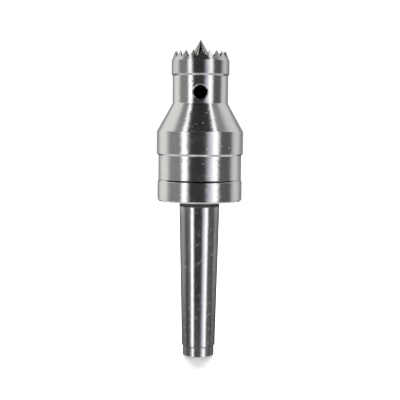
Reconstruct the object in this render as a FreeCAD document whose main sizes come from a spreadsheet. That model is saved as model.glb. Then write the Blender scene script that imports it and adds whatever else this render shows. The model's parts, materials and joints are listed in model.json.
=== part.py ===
import FreeCAD, Part
import Sketcher
import math
import os
import re

# Revolving (live) centre on a No. 2 Morse taper, millimetres.
# The axis is Z, the work point faces +Z and Z = 0 is the gauge line of the taper.
SIZES = {
    # Morse taper shank and its spindle
    "gauge_dia": 17.78, "taper_rate": 0.04995, "gauge_to_ring": 5.0, "journal_radius": 9.0,
    "taper_length": 59.7, "shank_length": 64.4, "relief_radius": 6.95, "tail_chamfer": 0.3,
    "centre_drill_radius": 3.15, "pilot_radius": 1.25, "pilot_length": 2.5,
    "collar_radius": 11.0, "collar_height": 3.0, "collar_gap": 0.3,
    "spindle_radius": 6.0, "nose_radius": 5.0, "spindle_step": 2.5, "nose_chamfer": 0.6,
    "clip_radius": 7.9, "clip_groove_radius": 5.75, "clip_height": 1.0,
    # rear cap and its seal
    "cap_radius": 18.8, "cap_height": 9.7, "cap_lip": 0.9, "cap_inset": 0.2, "cap_floor": 2.7,
    "cap_chamfer": 0.7,
    "cap_bore_radius": 9.3, "seal_radius": 11.2, "seal_height": 1.2, "seal_seat": 1.3,
    "spanner_radius": 1.5, "spanner_circle": 14.2, "spanner_depth": 1.8, "joint_radius": 16.75,
    # housing
    "band_radius": 18.43, "band_top": 20.14, "band_step": 0.83, "body_radius": 19.05, "body_top": 30.7,
    "cone_top": 43.0, "neck_radius": 12.2, "neck_top": 54.9, "bore_radius": 14.0, "skirt_gap": 0.5,
    "shoulder_radius": 11.7, "needle_bore_radius": 7.0, "web_height": 3.0, "web_top": 43.0,
    "pocket_radius": 6.2, "spigot_radius": 9.0, "spigot_height": 5.0,
    "bar_hole_radius": 3.0, "bar_hole_height": 47.7, "bar_hole_chamfer": 0.5,
    # thrust bearing
    "ball_radius": 2.381, "race_gap": 0.04, "thrust_height": 9.0, "thrust_washer": 2.9,
    "thrust_pitch": 9.5, "thrust_washer_radius": 12.95, "thrust_outer_radius": 13.0,
    "thrust_inner_radius": 7.0, "thrust_cage_half": 1.2, "thrust_cage_inner": 6.6,
    "thrust_cage_outer": 12.5, "spacer_height": 2.0, "spacer_lip": 2.6,
    # radial bearing
    "radial_height": 8.0, "radial_pitch": 10.0, "inner_land": 8.4, "outer_land": 11.6,
    "shield_radius": 12.0, "shield_bore": 8.5, "shield_depth": 0.9, "shield_sheet": 0.4,
    "radial_cage_half": 2.85, "radial_cage_inner": 9.0, "radial_cage_outer": 11.0,
    # needle bearing
    "cup_height": 10.0, "cup_bottom": 29.0, "cup_wall": 0.75, "cup_lip_radius": 5.3,
    "needle_radius": 0.6, "needle_pitch": 5.625, "needle_length": 6.0, "needle_pocket_gap": 0.05,
    "needle_cage_inner": 5.2, "needle_cage_outer": 6.05, "needle_cage_height": 8.0,
    # crown
    "crown_radius": 12.7, "crown_foot": 0.8, "crown_taper_base": 61.5, "tooth_tip_height": 65.7,
    "tooth_tip_radius": 11.04, "tooth_depth": 3.0, "tooth_count": 20.0, "tooth_land": 0.05,
    "cup_floor": 62.2, "cup_floor_radius": 10.8, "cup_mouth_radius": 10.95, "point_bore_radius": 4.05,
    "crown_turn": 11.0,
    # sprung point and spring
    "point_height": 70.8, "point_radius": 4.0, "point_half_angle": 30.0, "point_flat": 0.1,
    "flange_radius": 5.8, "flange_height": 2.0, "flange_gap": 0.02, "stub_radius": 3.0,
    "stub_bottom": 52.5, "spring_radius": 3.9, "wire_radius": 0.5, "spring_turns": 6.0,
    "spring_gap": 0.02,
}
THRUST_BALLS = 10
RADIAL_BALLS = 8
NEEDLES = 14
SPANNER_HOLES = 2

# Levels along the axis, written as formulas of the sheet's cells.
RING = "gauge_to_ring"
COLLAR = f"{RING} + cap_floor + collar_gap"
THRUST = f"{COLLAR} + collar_height"
THRUST_MID = f"{THRUST} + thrust_height / 2"
THRUST_TOP = f"{THRUST} + thrust_height"
RADIAL = f"{THRUST_TOP} + spacer_height"
RADIAL_MID = f"{RADIAL} + radial_height / 2"
RADIAL_TOP = f"{RADIAL} + radial_height"
STEP = f"{RADIAL_TOP} + spindle_step"
JOINT = f"{RING} + cap_height"
CUP = f"{RING} + cup_bottom"
CUP_TOP = f"{CUP} + cup_height"
CUP_MID = f"{CUP} + cup_height / 2"
WEB = f"{RING} + web_top - web_height"
WEB_TOP = f"{RING} + web_top"
NECK_TOP = f"{RING} + neck_top"
SPIGOT_TOP = f"{NECK_TOP} + spigot_height"
TIPS = f"{RING} + tooth_tip_height"
TAIL = "-shank_length"
POINT_TIP = f"{RING} + point_height"
FLANGE_TOP = f"{SPIGOT_TOP} - flange_gap"
FLANGE = f"{FLANGE_TOP} - flange_height"
RACE = "ball_radius + race_gap"
DRILL_DEPTH = "(centre_drill_radius - pilot_radius) / tan(30)"

doc = FreeCAD.newDocument("LiveCentre")
sheet = doc.addObject("Spreadsheet::Sheet", "Sizes")
for row, (alias, value) in enumerate(SIZES.items(), 1):
    sheet.set(f"A{row}", alias)
    sheet.set(f"B{row}", str(value))
    sheet.setAlias(f"B{row}", alias)
doc.recompute()

kept = []


def bound(formula):
    """Point every cell name in a formula at the sheet."""
    return re.sub(r"[a-z_]+", lambda m: "Sizes." + m.group(0) if m.group(0) in SIZES else m.group(0), formula)


def bind(item, prop, formula):
    item.setExpression(prop, bound(formula))


def keep(item, label):
    item.Label = label
    kept.append(item)
    return item


def new_sketch(body, role, height=None):
    """A sketch on one of the body's own origin planes, raised by a formula when one is given."""
    sketch = body.newObject("Sketcher::SketchObject", f"{body.Label}_sketch")
    plane = next(feature for feature in body.Origin.OriginFeatures if feature.Role == role)
    sketch.AttachmentSupport = [(plane, "")]
    sketch.MapMode = "FlatFace"
    if height:
        bind(sketch, "AttachmentOffset.Base.z", height)
    return sketch


def measure(sketch, kind, geometry, vertex, formula):
    """Hold one coordinate of a vertex at the value of a formula."""
    index = sketch.addConstraint(Sketcher.Constraint(kind, -1, 1, geometry, vertex, 1.0))
    bind(sketch, f"Constraints[{index}]", formula)


def place(sketch, geometry, vertex, across, up):
    if across == "0":
        sketch.addConstraint(Sketcher.Constraint("PointOnObject", geometry, vertex, -2))
    else:
        measure(sketch, "DistanceX", geometry, vertex, across)
    if up == "0":
        sketch.addConstraint(Sketcher.Constraint("PointOnObject", geometry, vertex, -1))
    else:
        measure(sketch, "DistanceY", geometry, vertex, up)


def outline(sketch, points):
    """A closed outline whose corners are pairs of formulas."""
    count = len(points)
    loop = [FreeCAD.Vector(30 + 20 * math.cos(math.tau * i / count), 20 * math.sin(math.tau * i / count), 0)
            for i in range(count)]
    for i in range(count):
        sketch.addGeometry(Part.LineSegment(loop[i], loop[(i + 1) % count]), False)
    for i in range(count):
        sketch.addConstraint(Sketcher.Constraint("Coincident", i, 2, (i + 1) % count, 1))
    for i, (across, up) in enumerate(points):
        place(sketch, i, 1, across, up)


def circle(sketch, across, up, radius):
    index = sketch.addGeometry(Part.Circle(FreeCAD.Vector(8, 8, 0), FreeCAD.Vector(0, 0, 1), 1.0), False)
    place(sketch, index, 3, across, up)
    held = sketch.addConstraint(Sketcher.Constraint("Radius", index, 1.0))
    bind(sketch, f"Constraints[{held}]", radius)


def close_feature(body, feature, before=None):
    """Make the feature the tip of its body; a cut has to remove material."""
    body.Tip = feature
    doc.recompute()
    if before is not None and not body.Shape.Volume < before - 1e-6:
        raise RuntimeError(f"{feature.Label} removed nothing")
    return feature


def spin(body, sketch, kind, angle=360.0):
    before = body.Shape.Volume if kind == "Groove" else None
    feature = body.newObject(f"PartDesign::{kind}", f"{body.Label}_{kind.lower()}")
    feature.Profile = sketch
    feature.ReferenceAxis = (sketch, ["V_Axis"])
    feature.Angle = angle
    return close_feature(body, feature, before)


def turned(name, points, angle=360.0):
    """A body of revolution about the main axis."""
    body = keep(doc.addObject("PartDesign::Body", name), name)
    sketch = new_sketch(body, "XZ_Plane")
    outline(sketch, points)
    spin(body, sketch, "Revolution", angle)
    return body


def race(body, pitch, level):
    """A ball track turned into a ring."""
    sketch = new_sketch(body, "XZ_Plane")
    circle(sketch, pitch, level, RACE)
    spin(body, sketch, "Groove")


def pocket(body, sketch, depth):
    """Cut along the sketch's normal."""
    before = body.Shape.Volume
    feature = body.newObject("PartDesign::Pocket", f"{body.Label}_pocket")
    feature.Profile = sketch
    feature.Type = "Length"
    bind(feature, "Length", depth)
    feature.Reversed = True
    return close_feature(body, feature, before)


def around(body, feature, count):
    """Repeat a cut evenly about the main axis."""
    before = body.Shape.Volume
    pattern = body.newObject("PartDesign::PolarPattern", f"{body.Label}_pattern")
    axis = next(item for item in body.Origin.OriginFeatures if item.Role == "Z_Axis")
    pattern.Originals = [feature]
    pattern.Axis = (axis, [""])
    pattern.Angle = 360.0
    pattern.Occurrences = count
    return close_feature(body, pattern, before)


def rolling_set(name, kind, count, pitch, level, radius, length=None):
    """Equal balls or rollers on a pitch circle, kept as one set."""
    pieces = []
    for i in range(count):
        piece = doc.addObject(kind, f"{name}_{i + 1}")
        bind(piece, "Radius", radius)
        if length:
            bind(piece, "Height", length)
        turn = 360.0 * i / count
        bind(piece, "Placement.Base.x", f"({pitch}) * cos({turn})")
        bind(piece, "Placement.Base.y", f"({pitch}) * sin({turn})")
        bind(piece, "Placement.Base.z", level)
        pieces.append(piece)
    group = keep(doc.addObject("Part::Compound", name), name)
    group.Links = pieces


# Stationary parts: shank with its spindle, and what is fixed on the spindle.
turned("morse_shank", [
    ("0", f"{TAIL} + {DRILL_DEPTH} + pilot_length + pilot_radius * 0.6"),
    ("pilot_radius", f"{TAIL} + {DRILL_DEPTH} + pilot_length"),
    ("pilot_radius", f"{TAIL} + {DRILL_DEPTH}"),
    ("centre_drill_radius", TAIL),
    ("relief_radius - tail_chamfer", TAIL),
    ("relief_radius", f"{TAIL} + tail_chamfer"),
    ("relief_radius", "-taper_length"),
    ("gauge_dia / 2 - taper_length * taper_rate / 2", "-taper_length"),
    ("journal_radius", "(journal_radius - gauge_dia / 2) / (taper_rate / 2)"),
    ("journal_radius", COLLAR),
    ("collar_radius", COLLAR),
    ("collar_radius", THRUST),
    ("spindle_radius", THRUST),
    ("spindle_radius", RADIAL_TOP),
    ("clip_groove_radius", RADIAL_TOP),
    ("clip_groove_radius", f"{RADIAL_TOP} + clip_height"),
    ("spindle_radius", f"{RADIAL_TOP} + clip_height"),
    ("spindle_radius", f"{STEP} - nose_chamfer"),
    ("nose_radius", STEP),
    ("nose_radius", f"{CUP_TOP} - nose_chamfer"),
    ("nose_radius - nose_chamfer", CUP_TOP),
    ("0", CUP_TOP),
])
turned("spindle_snap_ring", [
    ("clip_groove_radius", RADIAL_TOP),
    ("clip_radius", RADIAL_TOP),
    ("clip_radius", f"{RADIAL_TOP} + clip_height"),
    ("clip_groove_radius", f"{RADIAL_TOP} + clip_height"),
], 320.0)

# Thrust bearing between the spindle collar and the housing.
washer = turned("thrust_shaft_washer", [
    ("spindle_radius", THRUST),
    ("thrust_washer_radius", THRUST),
    ("thrust_washer_radius", f"{THRUST} + thrust_washer"),
    ("spindle_radius", f"{THRUST} + thrust_washer"),
])
race(washer, "thrust_pitch", THRUST_MID)
washer = turned("thrust_housing_washer", [
    ("thrust_inner_radius", f"{THRUST_TOP} - thrust_washer"),
    ("thrust_outer_radius", f"{THRUST_TOP} - thrust_washer"),
    ("thrust_outer_radius", THRUST_TOP),
    ("thrust_inner_radius", THRUST_TOP),
])
race(washer, "thrust_pitch", THRUST_MID)
rolling_set("thrust_bearing_balls", "Part::Sphere", THRUST_BALLS, "thrust_pitch", THRUST_MID, "ball_radius")
cage = turned("thrust_bearing_cage", [
    ("thrust_cage_inner", f"{THRUST_MID} - thrust_cage_half"),
    ("thrust_cage_outer", f"{THRUST_MID} - thrust_cage_half"),
    ("thrust_cage_outer", f"{THRUST_MID} + thrust_cage_half"),
    ("thrust_cage_inner", f"{THRUST_MID} + thrust_cage_half"),
])
sketch = new_sketch(cage, "XY_Plane", f"{THRUST_MID} - ball_radius")
circle(sketch, "thrust_pitch", "0", RACE)
around(cage, pocket(cage, sketch, "2 * ball_radius"), THRUST_BALLS)
turned("bearing_spacer", [
    ("thrust_outer_radius", f"{THRUST_TOP} - spacer_lip"),
    ("bore_radius", f"{THRUST_TOP} - spacer_lip"),
    ("bore_radius", RADIAL),
    ("shoulder_radius", RADIAL),
    ("shoulder_radius", THRUST_TOP),
    ("thrust_outer_radius", THRUST_TOP),
])

# Deep groove ball bearing with two shields.
ring = turned("radial_bearing_inner_ring", [
    ("spindle_radius", RADIAL),
    ("inner_land", RADIAL),
    ("inner_land", RADIAL_TOP),
    ("spindle_radius", RADIAL_TOP),
])
race(ring, "radial_pitch", RADIAL_MID)
ring = turned("radial_bearing_outer_ring", [
    ("shield_radius", RADIAL),
    ("bore_radius", RADIAL),
    ("bore_radius", RADIAL_TOP),
    ("shield_radius", RADIAL_TOP),
    ("shield_radius", f"{RADIAL_TOP} - shield_depth"),
    ("outer_land", f"{RADIAL_TOP} - shield_depth"),
    ("outer_land", f"{RADIAL} + shield_depth"),
    ("shield_radius", f"{RADIAL} + shield_depth"),
])
race(ring, "radial_pitch", RADIAL_MID)
rolling_set("radial_bearing_balls", "Part::Sphere", RADIAL_BALLS, "radial_pitch", RADIAL_MID, "ball_radius")
cage = turned("radial_bearing_cage", [
    ("radial_cage_inner", f"{RADIAL_MID} - radial_cage_half"),
    ("radial_cage_outer", f"{RADIAL_MID} - radial_cage_half"),
    ("radial_cage_outer", f"{RADIAL_MID} + radial_cage_half"),
    ("radial_cage_inner", f"{RADIAL_MID} + radial_cage_half"),
])
sketch = new_sketch(cage, "YZ_Plane")
circle(sketch, "0", RADIAL_MID, RACE)
around(cage, pocket(cage, sketch, "bore_radius"), RADIAL_BALLS)
shields = []
for name, level in (
    ("rear", f"{RADIAL} + shield_depth - shield_sheet"),
    ("front", f"{RADIAL_TOP} - shield_depth"),
):
    discs = []
    for edge in ("shield_radius", "shield_bore"):
        disc = doc.addObject("Part::Cylinder", f"{name}_{edge}")
        bind(disc, "Radius", edge)
        bind(disc, "Height", "shield_sheet")
        bind(disc, "Placement.Base.z", level)
        discs.append(disc)
    shield = doc.addObject("Part::Cut", f"{name}_shield")
    shield.Base, shield.Tool = discs
    shields.append(shield)
group = keep(doc.addObject("Part::Compound", "radial_bearing_shields"), "radial_bearing_shields")
group.Links = shields

# Drawn-cup needle bearing on the spindle nose.
turned("needle_bearing_cup", [
    ("cup_lip_radius", CUP),
    ("needle_bore_radius", CUP),
    ("needle_bore_radius", CUP_TOP),
    ("cup_lip_radius", CUP_TOP),
    ("cup_lip_radius", f"{CUP_TOP} - cup_wall"),
    ("needle_bore_radius - cup_wall", f"{CUP_TOP} - cup_wall"),
    ("needle_bore_radius - cup_wall", f"{CUP} + cup_wall"),
    ("cup_lip_radius", f"{CUP} + cup_wall"),
])
NEEDLE_START = f"{CUP_MID} - needle_length / 2"
rolling_set("needle_rollers", "Part::Cylinder", NEEDLES, "needle_pitch", NEEDLE_START, "needle_radius",
            "needle_length")
cage = turned("needle_cage", [
    ("needle_cage_inner", f"{CUP_MID} - needle_cage_height / 2"),
    ("needle_cage_outer", f"{CUP_MID} - needle_cage_height / 2"),
    ("needle_cage_outer", f"{CUP_MID} + needle_cage_height / 2"),
    ("needle_cage_inner", f"{CUP_MID} + needle_cage_height / 2"),
])
sketch = new_sketch(cage, "XY_Plane", f"{NEEDLE_START} - needle_pocket_gap")
circle(sketch, "needle_pitch", "0", "needle_radius + needle_pocket_gap")
around(cage, pocket(cage, sketch, "needle_length + 2 * needle_pocket_gap"), NEEDLES)

# Turning head: cap, seal and housing.
cap = turned("rear_cap", [
    ("cap_bore_radius", RING),
    ("cap_radius - cap_chamfer", RING),
    ("cap_radius", f"{RING} + cap_chamfer"),
    ("cap_radius", f"{JOINT} - cap_lip"),
    ("band_radius - cap_inset", JOINT),
    ("joint_radius", JOINT),
    ("joint_radius", f"{RING} + cap_floor"),
    ("seal_radius", f"{RING} + cap_floor"),
    ("seal_radius", f"{RING} + cap_floor - seal_seat"),
    ("cap_bore_radius", f"{RING} + cap_floor - seal_seat"),
])
sketch = new_sketch(cap, "XY_Plane")
circle(sketch, "spanner_circle", "0", "spanner_radius")
around(cap, pocket(cap, sketch, f"{RING} + spanner_depth"), SPANNER_HOLES)
turned("rear_seal", [
    ("journal_radius + race_gap", f"{RING} + cap_floor - seal_seat"),
    ("seal_radius", f"{RING} + cap_floor - seal_seat"),
    ("seal_radius", f"{RING} + cap_floor - seal_seat + seal_height"),
    ("journal_radius + race_gap", f"{RING} + cap_floor - seal_seat + seal_height"),
])
housing = turned("housing", [
    ("0", WEB),
    ("needle_bore_radius", WEB),
    ("needle_bore_radius", STEP),
    ("shoulder_radius", STEP),
    ("shoulder_radius", RADIAL_TOP),
    ("bore_radius", RADIAL_TOP),
    ("bore_radius", f"{RING} + cap_floor + skirt_gap"),
    ("joint_radius", f"{RING} + cap_floor + skirt_gap"),
    ("joint_radius", JOINT),
    ("band_radius", JOINT),
    ("band_radius", f"{RING} + band_top"),
    ("body_radius", f"{RING} + band_top + band_step"),
    ("body_radius", f"{RING} + body_top"),
    ("neck_radius", f"{RING} + cone_top"),
    ("neck_radius", NECK_TOP),
    ("spigot_radius", NECK_TOP),
    ("spigot_radius", SPIGOT_TOP),
    ("pocket_radius", SPIGOT_TOP),
    ("pocket_radius", WEB_TOP),
    ("0", WEB_TOP),
])
sketch = new_sketch(housing, "XZ_Plane")
circle(sketch, "0", f"{RING} + bar_hole_height", "bar_hole_radius")
hole = pocket(housing, sketch, "body_radius")
mouths = [
    f"Edge{number}"
    for number, edge in enumerate(housing.Shape.Edges, 1)
    if abs(edge.BoundBox.XLength - 2 * SIZES["bar_hole_radius"]) < 0.1
    and edge.BoundBox.YMin < -SIZES["pocket_radius"] - 1.0
    and edge.BoundBox.YMax < -SIZES["pocket_radius"]
]
bevel = housing.newObject("PartDesign::Chamfer", "bar_hole_edge")
bevel.Base = (hole, mouths)
bind(bevel, "Size", "bar_hole_chamfer")
close_feature(housing, bevel, housing.Shape.Volume)

# Toothed crown screwed over the housing's spigot.
crown = turned("crown", [
    ("spigot_radius", NECK_TOP),
    ("neck_radius", NECK_TOP),
    ("crown_radius", f"{NECK_TOP} + crown_foot"),
    ("crown_radius", f"{RING} + crown_taper_base"),
    ("tooth_tip_radius", TIPS),
    ("cup_mouth_radius", TIPS),
    ("cup_floor_radius", f"{RING} + cup_floor"),
    ("point_bore_radius", f"{RING} + cup_floor"),
    ("point_bore_radius", SPIGOT_TOP),
    ("spigot_radius", SPIGOT_TOP),
])
HALF_GAP = "(tooth_tip_radius * sin(180 / tooth_count) - tooth_land)"
ABOVE = f"{TIPS} + tooth_depth"
sketch = new_sketch(crown, "YZ_Plane")
outline(sketch, [
    ("0", f"{TIPS} - tooth_depth"),
    (f"2 * {HALF_GAP}", ABOVE),
    (f"-2 * {HALF_GAP}", ABOVE),
])
around(crown, pocket(crown, sketch, "body_radius"), int(SIZES["tooth_count"]))
bind(crown, "Placement.Rotation.Angle", "crown_turn")

# Sprung point, its spring and the way the spring sits on the web.
turned("center_point", [
    ("0", f"{RING} + stub_bottom"),
    ("stub_radius - nose_chamfer", f"{RING} + stub_bottom"),
    ("stub_radius", f"{RING} + stub_bottom + nose_chamfer"),
    ("stub_radius", FLANGE),
    ("flange_radius", FLANGE),
    ("flange_radius", FLANGE_TOP),
    ("point_radius", FLANGE_TOP),
    ("point_radius", f"{POINT_TIP} - (point_radius - point_flat) / tan(point_half_angle)"),
    ("point_flat", POINT_TIP),
    ("0", POINT_TIP),
])
LENGTH = f"({FLANGE} - ({WEB_TOP}) - 2 * wire_radius - 2 * spring_gap)"
spring = keep(doc.addObject("PartDesign::Body", "point_spring"), "point_spring")
sketch = new_sketch(spring, "XZ_Plane")
circle(sketch, "spring_radius", f"{WEB_TOP} + wire_radius + spring_gap", "wire_radius")
coil = spring.newObject("PartDesign::AdditiveHelix", "coil")
coil.Profile = sketch
coil.ReferenceAxis = (sketch, ["V_Axis"])
coil.Mode = "height-turns-angle"
bind(coil, "Height", LENGTH)
bind(coil, "Turns", "spring_turns")
close_feature(spring, coil)

doc.recompute()
for item in doc.Objects:
    if "Invalid" in item.State or "Error" in item.State:
        raise RuntimeError(f"{item.Label} did not build: {item.State}")
os.makedirs("parts", exist_ok=True)
for item in kept:
    if item.Shape.isNull() or not item.Shape.isValid():
        raise RuntimeError(f"{item.Label} has no valid shape")
    item.Shape.exportStep(f"parts/{item.Label}.step")
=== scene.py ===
import json
import math

import bpy
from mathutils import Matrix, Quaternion, Vector


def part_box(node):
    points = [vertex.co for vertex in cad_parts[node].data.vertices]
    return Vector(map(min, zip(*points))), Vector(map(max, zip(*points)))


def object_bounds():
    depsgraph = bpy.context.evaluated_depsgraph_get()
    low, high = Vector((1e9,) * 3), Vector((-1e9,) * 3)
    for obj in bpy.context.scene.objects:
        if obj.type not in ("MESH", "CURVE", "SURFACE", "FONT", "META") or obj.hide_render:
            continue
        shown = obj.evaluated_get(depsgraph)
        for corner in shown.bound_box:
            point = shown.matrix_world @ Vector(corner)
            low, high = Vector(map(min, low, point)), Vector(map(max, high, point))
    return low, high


# Looks of a revolving crown centre: turned, ground and milled steel under two strip lights.
# Lengths are metres in the part's frame and angles are degrees. Round the object, 0 degrees is
# in front, towards the camera, and + is to the right.

CAMERA_AIM = (0.00025, 0.0, 0.0053)
CAMERA_DISTANCE = 0.4057
CAMERA_ELEVATION = 4.55
CAMERA_ROLL = 0.5
CAMERA_LENS_MM = 82.0
CAMERA_NEAR = 0.01
CAMERA_FAR = 20.0

# The room that the steel mirrors. Panels stand round the object, each laid over those before it:
# middle, half width and softness of its edges in degrees, brightness and tint.
WARM = (1.02, 1.0, 0.975)
PALE = (1.0, 1.01, 0.97)
LILAC = (0.96, 0.96, 1.06)
WHITE = (1.0, 1.0, 1.0)
PANELS_LEVEL = {
    "back wall": (180, 55, 20, 0.32, WHITE),
    "left wall": (-113, 26, 18, 1.00, PALE),
    "right wall": (113, 19, 16, 0.84, PALE),
    "left grey card": (-72, 20, 14, 0.32, WARM),
    "right grey card": (72, 18, 8, 0.13, WARM),
    "lilac curtain": (32, 11, 9, 0.92, LILAC),
    "left strip box": (-41.5, 8, 6, 1.95, WHITE),
    "right strip box": (43, 8, 6.5, 1.80, WHITE),
}
PANELS_ABOVE = {
    "back wall": (180, 115, 8, 0.42, WHITE),
    "back ceiling": (180, 26, 14, 0.80, WHITE),
    "left wall": (-110, 34, 15, 1.00, PALE),
    "right wall": (113, 28, 20, 0.86, PALE),
    "left grey card": (-60, 13, 6, 0.32, WARM),
    "right grey card": (62, 14, 6, 0.34, WARM),
    "left strip box": (-42, 5.5, 2, 1.90, WHITE),
    "right strip box": (42, 5.5, 2, 1.85, WHITE),
}
BETWEEN_PANELS = 0.05
ROOM_LEAN = 0.26    # how far the line that the panels stand round leans to the back, above level
ROOM_PEAK = 2.0     # strength of the room's light, which its colours are shares of

# Levels in the room are the upward part of a direction: 0 is level and 1 is straight up.
ABOVE_STARTS, ABOVE_FULL = 0.25, 0.45
OVERHEAD_STARTS, OVERHEAD_FULL = 0.858, 0.874
OVERHEAD_LIGHT = 0.003
GROUND_STARTS, GROUND_FULL = -0.26, -0.42
GROUND_LIGHT = 0.78
PANELS_IN_GROUND = 0.25
WHITE_ROOM = 1.03   # brightness of the plain room that lights the floor and shows behind the object

LAMP_ENERGY = 14.0
LAMP_ELEVATION = 18.0
LAMP_SPREAD = 44.0
FLOOR_SIZE = 6.0

# The flag is a dark card. Its two ends fade in between these turns, its top and foot between heights.
FLAG_RADIUS = 0.5
FLAG_HALF_TURN = 128
FLAG_COLUMNS = 40
FLAG_DEPTH = 0.17
FLAG_TOP = -0.038
FLAG_TOP_FADE = 0.02
FLAG_SHADE = 0.60
FLAG_LEFT_STARTS, FLAG_LEFT_FULL = -52, -72
FLAG_RIGHT_STARTS, FLAG_RIGHT_FULL = 75, 95
FLAG_FOOT_STARTS, FLAG_FOOT_FULL = -0.10, -0.19
FLAG_FOOT_SHADE = 0.18

# Marks on the steel.
EDGE_WEAR_AND_HIGHLIGHT = 0.00010     # reach of the rubbed line from an edge, which is also a painted highlight
TOOL_PITCH = 0.00022
TOOL_DEPTH = 0.0000022
STREAK_DEPTH = 0.000008
WAVE_DEPTH = 0.000016
PIT_DEPTH = 0.00008
SCRATCH_DEPTH = 0.00003
SCRATCH_SLANTS = (0.9, -1.4)
FRAY = 0.2              # sway of the normal from side to side, as a share of its length

# Colours of steel that more than one finish has, and where a finish changes along a piece.
POLISHED = (0.66, 0.66, 0.665)
GROUND = (0.66, 0.66, 0.67)
CUP_DEPTH = 0.0035      # crown's tooth tips to the floor of the cup inside them
CUP_FADE = 0.0008
# Painted shade in the seam under the housing lies between the depths below and is darkest beyond the
# distances below.
SEAM_STARTS = 0.0008    # these two are depths below the joint under the housing
SEAM_FULL = 0.0006
SEAM_THIN_WITHIN = 0.0104   # these two are distances in front of the axis, or behind it
SEAM_DARK_BEYOND = 0.0134
GRIND_TOP = 0.0026      # the shank's taper is ground up to this height; above it, it is rough as turned and darkened with painted shade under the cap
RELIEF_LENGTH = 0.0047
CHANGE_WIDTH = 0.0002   # over which one way of finishing the shank gives way to the next
CORNER_WIDTH = 0.0007   # of the painted shade line at the relief's shoulder


class Graph:
    """Short hand for building a node tree."""

    def __init__(self, tree):
        tree.nodes.clear()
        self.tree = tree

    def add(self, kind, inputs=None, **settings):
        node = self.tree.nodes.new(kind)
        for key, value in settings.items():
            setattr(node, key, value)
        for key, value in (inputs or {}).items():
            self.feed(node.inputs[key], value)
        return node

    def feed(self, socket, value):
        if isinstance(value, bpy.types.NodeSocket):
            self.tree.links.new(value, socket)
        else:
            socket.default_value = value

    def math(self, operation, *values):
        node = self.add("ShaderNodeMath", operation=operation)
        for socket, value in zip(node.inputs, values):
            self.feed(socket, value)
        return node.outputs[0]

    def fade(self, value, low, high, start=0.0, end=1.0):
        """Smooth step from start to end while value goes from low to high."""
        inputs = {"Value": value, "From Min": low, "From Max": high, "To Min": start, "To Max": end}
        return self.add("ShaderNodeMapRange", inputs, interpolation_type="SMOOTHSTEP").outputs["Result"]

    def mix(self, factor, first, second):
        node = self.add("ShaderNodeMix", data_type="RGBA", blend_type="MIX")
        for index, value in ((0, factor), (6, first), (7, second)):
            self.feed(node.inputs[index], value)
        return node.outputs[2]

    def vector(self, operation, inputs):
        return self.add("ShaderNodeVectorMath", inputs, operation=operation).outputs

    def split(self, vector):
        return self.add("ShaderNodeSeparateXYZ", {"Vector": vector}).outputs

    def join(self, x, y, z):
        return self.add("ShaderNodeCombineXYZ", {0: x, 1: y, 2: z}).outputs[0]


def grey(level):
    return (level, level, level, 1.0)


def put(name, data):
    """Stand a new object in the scene."""
    thing = bpy.data.objects.new(name, data)
    bpy.context.scene.collection.objects.link(thing)
    return thing


def start_material(name):
    material = bpy.data.materials.new(name)
    material.use_nodes = True
    return material


def make_camera():
    camera = put("camera", bpy.data.cameras.new("camera"))
    tilt = math.radians(CAMERA_ELEVATION)
    away = Vector((0.0, -math.cos(tilt), math.sin(tilt)))
    camera.location = Vector(CAMERA_AIM) + CAMERA_DISTANCE * away
    roll = Quaternion((0.0, 0.0, 1.0), math.radians(CAMERA_ROLL))
    camera.rotation_mode = "QUATERNION"
    camera.rotation_quaternion = (-away).to_track_quat("-Z", "Y") @ roll
    camera.data.lens = CAMERA_LENS_MM
    camera.data.clip_start, camera.data.clip_end = CAMERA_NEAR, CAMERA_FAR
    bpy.context.scene.camera = camera


def stand_round(graph, turn, panels):
    """Colour of the room all round at one level."""
    colour = grey(BETWEEN_PANELS / ROOM_PEAK)
    for middle, half, soft, level, tint in panels.values():
        swing = graph.math("SUBTRACT", turn, math.radians(middle))
        away = graph.math("ARCCOSINE", graph.math("COSINE", swing))
        cover = graph.fade(away, math.radians(half + soft), math.radians(half - soft))
        colour = graph.mix(cover, colour, (*(level * part / ROOM_PEAK for part in tint), 1.0))
    return colour


def make_room():
    """Light by direction: steel mirrors a room with two strip boxes, and all else sees plain white."""
    world = bpy.data.worlds.new("studio")
    bpy.context.scene.world = world
    world.use_nodes = True
    world.cycles.sampling_method = "NONE"
    graph = Graph(world.node_tree)
    x, y, z = graph.split(graph.add("ShaderNodeTexCoord").outputs["Generated"])
    lean = graph.math("MULTIPLY", graph.math("MAXIMUM", z, 0.0), ROOM_LEAN)
    turn = graph.math("ARCTAN2", x, graph.math("SUBTRACT", lean, y))
    level = stand_round(graph, turn, PANELS_LEVEL)
    above = stand_round(graph, turn, PANELS_ABOVE)
    walls = graph.mix(graph.fade(z, ABOVE_STARTS, ABOVE_FULL), level, above)
    walls = graph.mix(graph.fade(z, OVERHEAD_STARTS, OVERHEAD_FULL), walls, grey(OVERHEAD_LIGHT))
    ground = graph.mix(PANELS_IN_GROUND, grey(GROUND_LIGHT / ROOM_PEAK), level)
    colour = graph.mix(graph.fade(z, GROUND_STARTS, GROUND_FULL), walls, ground)
    path = graph.add("ShaderNodeLightPath")
    room = graph.add("ShaderNodeBackground", {"Color": colour, "Strength": ROOM_PEAK})
    white = graph.add("ShaderNodeBackground", {"Color": grey(1.0), "Strength": WHITE_ROOM})
    inputs = {0: path.outputs["Is Glossy Ray"], 1: white.outputs[0], 2: room.outputs[0]}
    shown = graph.add("ShaderNodeMixShader", inputs)
    graph.add("ShaderNodeOutputWorld", {"Surface": shown.outputs[0]})


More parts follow.
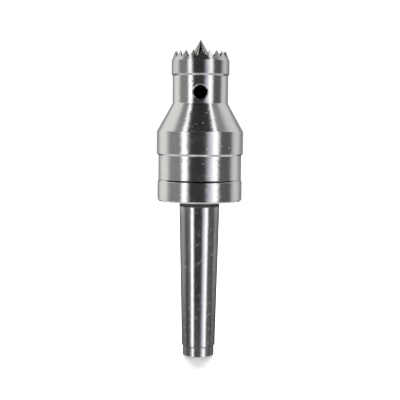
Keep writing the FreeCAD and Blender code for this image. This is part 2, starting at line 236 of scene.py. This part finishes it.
def make_floor(level):
    """Pale paper, level with the object's lowest point, that the steel doesn't mirror."""
    mesh = bpy.data.meshes.new("floor")
    half = FLOOR_SIZE / 2
    corners = [(-half, -half, level), (half, -half, level), (half, half, level), (-half, half, level)]
    mesh.from_pydata(corners, [], [(0, 1, 2, 3)])
    floor = put("floor", mesh)
    floor.visible_glossy = False
    material = start_material("floor")
    graph = Graph(material.node_tree)
    place = graph.add("ShaderNodeTexCoord").outputs["Object"]
    speck = graph.add("ShaderNodeTexNoise", {"Vector": place, "Scale": 900.0, "Detail": 3.0}).outputs["Fac"]
    tone = graph.mix(speck, grey(0.79), grey(0.81))
    paper = graph.add("ShaderNodeBsdfDiffuse", {"Color": tone, "Roughness": 0.0})
    graph.add("ShaderNodeOutputMaterial", {"Surface": paper.outputs[0]})
    mesh.materials.append(material)


def make_flag(level):
    """A dark card standing round behind the shank, seen only in steel, thin at its top and its ends."""
    half_turn = math.radians(FLAG_HALF_TURN)
    spots, faces = [], []
    for column in range(FLAG_COLUMNS + 1):
        angle = half_turn * (2 * column / FLAG_COLUMNS - 1)
        x, y = FLAG_RADIUS * math.sin(angle), FLAG_RADIUS * math.cos(angle)
        spots += [(x, y, level - FLAG_DEPTH), (x, y, FLAG_TOP)]
    for column in range(FLAG_COLUMNS):
        faces.append((2 * column, 2 * column + 2, 2 * column + 3, 2 * column + 1))
    mesh = bpy.data.meshes.new("flag")
    mesh.from_pydata(spots, [], faces)
    flag = put("flag", mesh)
    flag.visible_camera = flag.visible_diffuse = flag.visible_shadow = flag.visible_transmission = False
    material = start_material("flag")
    graph = Graph(material.node_tree)
    x, y, z = graph.split(graph.add("ShaderNodeTexCoord").outputs["Object"])
    turn = graph.math("ARCTAN2", x, graph.math("MULTIPLY", y, -1.0))
    left = graph.fade(turn, math.radians(FLAG_LEFT_STARTS), math.radians(FLAG_LEFT_FULL))
    right = graph.fade(turn, math.radians(FLAG_RIGHT_STARTS), math.radians(FLAG_RIGHT_FULL))
    body = graph.fade(z, FLAG_TOP, FLAG_TOP - FLAG_TOP_FADE, 0.0, FLAG_SHADE)
    foot = graph.fade(z, FLAG_FOOT_STARTS, FLAG_FOOT_FULL, 0.0, FLAG_FOOT_SHADE)
    cover = graph.math("MULTIPLY", graph.math("ADD", left, right), graph.math("ADD", body, foot))
    dark = graph.add("ShaderNodeEmission", {"Color": grey(0.0), "Strength": 0.0})
    clear = graph.add("ShaderNodeBsdfTransparent")
    card = graph.add("ShaderNodeMixShader", {0: cover, 1: clear.outputs[0], 2: dark.outputs[0]})
    graph.add("ShaderNodeOutputMaterial", {"Surface": card.outputs[0]})
    mesh.materials.append(material)


def make_lamp():
    """A broad soft lamp behind the object, which casts the shadow at the foot of the shank."""
    light = bpy.data.lights.new("lamp", "SUN")
    light.energy = LAMP_ENERGY
    light.angle = math.radians(LAMP_SPREAD)
    lamp = put("lamp", light)
    lamp.rotation_euler = (-math.radians(90 - LAMP_ELEVATION), 0.0, 0.0)
    lamp.visible_glossy = False


class Steel(Graph):
    """Metal turned or ground round the Z axis, marked by its tools and by use.

    specks is the strength of the dents and their painted glints, and scuffs that of the marks of handling;
    blur draws reflections out, and wear_and_highlight is the reach of the rubbed line from an edge,
    which is also painted brighter as a highlight.
    """

    def __init__(self, name, colour, roughness, pitch=TOOL_PITCH, specks=1.0, scuffs=1.0, blur=0.6,
                 wear_and_highlight=EDGE_WEAR_AND_HIGHLIGHT, metal=1.0):
        self.material = start_material(name)
        super().__init__(self.material.node_tree)
        self.place = self.add("ShaderNodeTexCoord").outputs["Object"]
        self.x, self.y, self.z = self.split(self.place)
        across = self.math("MULTIPLY", self.x, self.x)
        deep = self.math("MULTIPLY", self.y, self.y)
        self.radius = self.math("SQRT", self.math("ADD", across, deep))
        self.facing = self.add("ShaderNodeNewGeometry").outputs["True Normal"]
        self.colour = (*colour, 1.0)
        self.rough = roughness
        self.height = 0.0
        self.blur = blur
        self.wear_and_highlight = wear_and_highlight
        self.metal = metal
        self.turning_marks(pitch)
        self.streaks(scuffs)
        self.frost(scuffs)
        self.pits_and_glints(specks)

    def noise(self, vector, scale, detail=2.0, roughness=0.5):
        inputs = {"Vector": vector, "Scale": scale, "Detail": detail, "Roughness": roughness}
        return self.add("ShaderNodeTexNoise", inputs).outputs["Fac"]

    def rings(self, track, scale, detail):
        """Noise that only changes along the track, so it lies in rings."""
        inputs = {"W": track, "Scale": scale, "Detail": detail}
        return self.add("ShaderNodeTexNoise", inputs, noise_dimensions="1D").outputs["Fac"]

    def squeezed(self, share):
        """Place with heights multiplied, so that noise on it is drawn out round the axis."""
        return self.join(self.x, self.y, self.math("MULTIPLY", self.z, share))

    def raise_by(self, mask, amount):
        self.height = self.math("ADD", self.height, self.math("MULTIPLY", mask, amount))

    def shade(self, mask, share, colour):
        """Where the mask is 1 the surface takes this share of the colour."""
        self.colour = self.mix(self.math("MULTIPLY", mask, share), self.colour, colour)

    def coat(self, mask, colour, roughness):
        """Where the mask is 1 the surface takes this colour and roughness."""
        self.colour = self.mix(mask, self.colour, (*colour, 1.0))
        kept = self.math("MULTIPLY", self.math("SUBTRACT", 1.0, mask), self.rough)
        self.rough = self.math("ADD", self.math("MULTIPLY", mask, roughness), kept)

    def turning_marks(self, pitch):
        """Rings left by the tool, fine ones inside broad ones."""
        run = self.math("MULTIPLY_ADD", self.radius, 0.61, self.z)
        wander = self.noise(self.place, scale=70.0)
        track = self.math("MULTIPLY_ADD", wander, pitch * 0.8, run)
        fine = self.rings(track, scale=1.0 / pitch, detail=3.0)
        broad = self.rings(track, scale=0.12 / pitch, detail=2.0)
        rings = self.math("MULTIPLY_ADD", fine, 0.7, self.math("MULTIPLY", broad, 0.3))
        self.raise_by(rings, TOOL_DEPTH)
        self.shade(rings, 0.2, grey(0.42))

    def streaks(self, amount):
        """Short marks lying round the axis, which fray the edges of a reflection."""
        marks = self.noise(self.squeezed(7.0), scale=1500.0, detail=3.0, roughness=0.65)
        cloud = self.noise(self.place, scale=210.0, detail=4.0, roughness=0.6)
        patches = self.fade(cloud, low=0.3, high=0.7, start=0.35)
        waves = self.noise(self.squeezed(1.6), scale=1000.0, roughness=0.6)
        self.raise_by(waves, amount * WAVE_DEPTH)
        self.raise_by(marks, self.math("MULTIPLY", patches, amount * STREAK_DEPTH))
        unevenness = self.math("ADD", marks, patches)
        self.rough = self.math("MULTIPLY_ADD", unevenness, self.rough * 0.35, self.rough * 0.62)
        self.shade(self.fade(marks, low=0.55, high=0.85), 0.22, grey(0.30))

    def frost(self, amount):
        """Small dull marks left by wiping and handling."""
        marks = self.noise(self.squeezed(1.8), scale=1300.0, detail=3.0, roughness=0.7)
        cloud = self.noise(self.place, scale=120.0, detail=3.0, roughness=0.6)
        worn = self.fade(cloud, low=0.35, high=0.65, start=0.35)
        dull = self.math("MULTIPLY", self.fade(marks, low=0.60, high=0.68), worn)
        self.coat(self.math("MULTIPLY", dull, amount * 0.5), colour=(0.74, 0.74, 0.74), roughness=0.38)

    def pits_and_glints(self, amount):
        """Tiny dents, a few on each square centimetre, coloured near white as painted glints."""
        inputs = {"Vector": self.place, "Scale": 640.0, "Randomness": 1.0}
        cells = self.add("ShaderNodeTexVoronoi", inputs).outputs
        chosen = self.math("GREATER_THAN", self.split(cells["Color"])[0], 0.82)
        bowl = self.fade(cells["Distance"], low=0.0, high=0.18, start=1.0, end=0.0)
        dent_and_glint = self.math("MULTIPLY", bowl, chosen)
        self.raise_by(dent_and_glint, -amount * PIT_DEPTH)
        # painted glint: the dents are coloured near white
        self.coat(self.math("MULTIPLY", dent_and_glint, amount * 0.8), colour=(0.95, 0.95, 0.95), roughness=0.5)

    def scratches(self):
        """A few thin slanting scratches."""
        angle = self.math("ARCTAN2", self.x, self.math("MULTIPLY", self.y, -1.0))
        round_axis = self.math("MULTIPLY", angle, self.radius)
        for index, slant in enumerate(SCRATCH_SLANTS):
            along = self.math("MULTIPLY_ADD", round_axis, slant, self.z)
            across = self.math("MULTIPLY_ADD", self.z, -slant, round_axis)
            long_way = self.math("MULTIPLY", along, 160.0)
            short_way = self.math("MULTIPLY", across, 2600.0)
            marks = self.noise(self.join(long_way, short_way, 7.0 * index), scale=1.0, detail=1.0)
            line = self.fade(marks, low=0.72, high=0.76)
            self.raise_by(line, -SCRATCH_DEPTH)
            self.shade(line, 0.5, grey(0.85))

    def worn_and_highlit_edges(self):
        """Edges are rubbed slightly rough and coloured brighter, partly wear and partly a painted
        highlight.
        """
        bevel = self.add("ShaderNodeBevel", {"Radius": self.wear_and_highlight}, samples=6)
        match = self.vector("DOT_PRODUCT", {0: bevel.outputs["Normal"], 1: self.facing})["Value"]
        edge = self.fade(match, low=0.995, high=0.93)
        broken = self.fade(self.noise(self.place, scale=900.0), low=0.35, high=0.6, start=0.25, end=0.9)
        # painted highlight: edges are coloured brighter as well as rubbed rough
        self.coat(self.math("MULTIPLY", edge, broken), colour=(0.86, 0.86, 0.86), roughness=0.42)

    def frayed(self, normal, tangent):
        """Sway the normal round the axis in thin bands, so the edge of a reflection is ragged."""
        bands = self.noise(self.squeezed(5.0), scale=800.0, detail=3.0, roughness=0.75)
        sway = self.math("MULTIPLY", self.math("SUBTRACT", bands, 0.5), FRAY)
        aside = self.vector("SCALE", {0: tangent, "Scale": sway})[0]
        swayed = self.vector("ADD", {0: normal, 1: aside})[0]
        return self.vector("NORMALIZE", {0: swayed})[0]

    def outward(self):
        """How far a face looks away from the axis: 1 on a cylinder, 0 on a flat end or a slot's side."""
        turned = self.add("ShaderNodeVectorTransform", {"Vector": self.facing}, vector_type="NORMAL",
                          convert_from="WORLD", convert_to="OBJECT")
        across, deep, _ = self.split(turned.outputs[0])
        along = self.math("ADD", self.math("MULTIPLY", self.x, across), self.math("MULTIPLY", self.y, deep))
        return self.math("DIVIDE", along, self.radius)

    def finish(self):
        self.worn_and_highlit_edges()
        bump = self.add("ShaderNodeBump", {"Height": self.height, "Distance": 1.0, "Strength": 1.0})
        tangent = self.add("ShaderNodeTangent", direction_type="RADIAL", axis="Z").outputs["Tangent"]
        steel = self.add("ShaderNodeBsdfPrincipled", {
            "Base Color": self.colour, "Metallic": self.metal, "Roughness": self.rough,
            "Anisotropic": self.blur, "Tangent": tangent,
            "Normal": self.frayed(bump.outputs["Normal"], tangent),
        })
        self.add("ShaderNodeOutputMaterial", {"Surface": steel.outputs[0]})
        return self.material


def housing_steel():
    """Polished outside, with painted shade darkening the bores."""
    steel = Steel("housing_steel", POLISHED, 0.12, specks=1.8, wear_and_highlight=2.6 * EDGE_WEAR_AND_HIGHLIGHT)
    inside = steel.fade(steel.outward(), low=0.45, high=0.2)
    # painted shade: faces that do not look outward from the axis, such as the bores, are coloured near
    # black
    steel.coat(inside, colour=(0.02, 0.02, 0.02), roughness=0.4)
    return steel.finish()


def cap_steel(joint):
    """Polished, with painted shade in the seam under the housing, darkest in front and behind and thin
    towards the two sides.
    """
    steel = Steel("cap_steel", POLISHED, 0.12)
    seam = steel.fade(steel.z, joint - SEAM_STARTS, joint - SEAM_FULL)
    from_middle = steel.math("ABSOLUTE", steel.y)
    seam_shade_share = steel.fade(from_middle, SEAM_THIN_WITHIN, SEAM_DARK_BEYOND, start=0.1)
    # painted shade: the seam is coloured near black, darkest in front and behind
    steel.coat(steel.math("MULTIPLY", seam, seam_shade_share), colour=(0.012, 0.012, 0.012), roughness=0.3)
    return steel.finish()


def crown_steel(floor_of_cup):
    """Bright turned crown; the flanks of the teeth and the cup within them are rougher and darkened with
    painted shade.
    """
    steel = Steel("crown_steel", (0.57, 0.57, 0.575), 0.13, specks=0.5, wear_and_highlight=0.5 * EDGE_WEAR_AND_HIGHLIGHT)
    cut_across = steel.fade(steel.outward(), low=0.5, high=0.25)
    near_top = steel.fade(steel.z, floor_of_cup - CUP_FADE, floor_of_cup)
    # painted shade: the tooth flanks and the cup are coloured near black, and made rougher
    steel.coat(steel.math("MULTIPLY", cut_across, near_top), colour=(0.045, 0.048, 0.045), roughness=0.34)
    return steel.finish()


def ground_steel(relief_top):
    """Shank ground on its taper; beside the cap it is rough as turned and darkened with painted shade, and
    the relief at its end is as turned with a painted shade line under its shoulder.
    """
    steel = Steel("ground_steel", GROUND, 0.12, pitch=0.00014, scuffs=0.9, specks=0.35)
    steel.scratches()
    # painted shade: under the cap the band is rough as turned and coloured dark
    as_turned_and_shade = steel.fade(steel.z, GRIND_TOP - CHANGE_WIDTH, GRIND_TOP + CHANGE_WIDTH)
    steel.coat(as_turned_and_shade, colour=(0.10, 0.10, 0.105), roughness=0.45)
    relief = steel.fade(steel.z, relief_top, relief_top - CHANGE_WIDTH)
    steel.coat(relief, colour=GROUND, roughness=0.17)
    # painted shade: a dark line just under the step at the top of the relief
    rising = steel.fade(steel.z, relief_top - CORNER_WIDTH, relief_top - CHANGE_WIDTH)
    falling = steel.fade(steel.z, relief_top + CHANGE_WIDTH / 2, relief_top)
    steel.coat(steel.math("MULTIPLY", rising, falling), colour=(0.16, 0.16, 0.17), roughness=0.4)
    return steel.finish()


def seal_rubber():
    """Black rubber, with none of the dents, painted glints, rubbed and painted bright edges and drawn-out
    gloss of metal.
    """
    rubber = Steel("seal_rubber", (0.02, 0.02, 0.02), 0.6, specks=0.0, blur=0.0, wear_and_highlight=0.0, metal=0.0)
    return rubber.finish()


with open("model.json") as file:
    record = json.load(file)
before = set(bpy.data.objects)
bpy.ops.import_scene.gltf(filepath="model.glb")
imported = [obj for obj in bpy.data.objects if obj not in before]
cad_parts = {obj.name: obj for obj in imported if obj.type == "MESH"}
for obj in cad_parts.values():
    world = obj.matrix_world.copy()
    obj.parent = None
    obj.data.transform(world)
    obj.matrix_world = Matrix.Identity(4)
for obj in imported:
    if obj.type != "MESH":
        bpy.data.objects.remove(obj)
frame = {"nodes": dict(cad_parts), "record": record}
cad_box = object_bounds()
bpy.context.scene.view_settings.view_transform = "Standard"
make_camera()
make_room()
make_floor(cad_box[0].z)
make_flag(cad_box[0].z)
make_lamp()

crown_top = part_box("crown")[1].z
node_finishes = {"housing": housing_steel(), "rear_cap": cap_steel(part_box("rear_cap")[1].z)}
slot_finishes = {
    "crown_steel": crown_steel(crown_top - CUP_DEPTH),
    "point_steel": Steel("point_steel", (0.40, 0.39, 0.37), 0.11, scuffs=0.6).finish(),
    "ground_steel": ground_steel(cad_box[0].z + RELIEF_LENGTH),
    "turned_steel": Steel("turned_steel", (0.55, 0.55, 0.56), 0.25).finish(),
    # painted shade: the spring is coloured near black, as it lies in shade within the housing
    "spring_steel": Steel("spring_steel", (0.035, 0.035, 0.04), 0.4).finish(),
    "bearing_steel": Steel("bearing_steel", GROUND, 0.10).finish(),
    "cage_sheet": Steel("cage_sheet", (0.56, 0.56, 0.57), 0.28).finish(),
    "cage_brass": Steel("cage_brass", (0.72, 0.55, 0.25), 0.25).finish(),
    "seal_rubber": seal_rubber(),
}
for entry in frame["record"]["subparts"]:
    mesh = frame["nodes"][entry["node"]].data
    mesh.materials.clear()
    mesh.materials.append(node_finishes.get(entry["node"]) or slot_finishes[entry["material_slot"]])
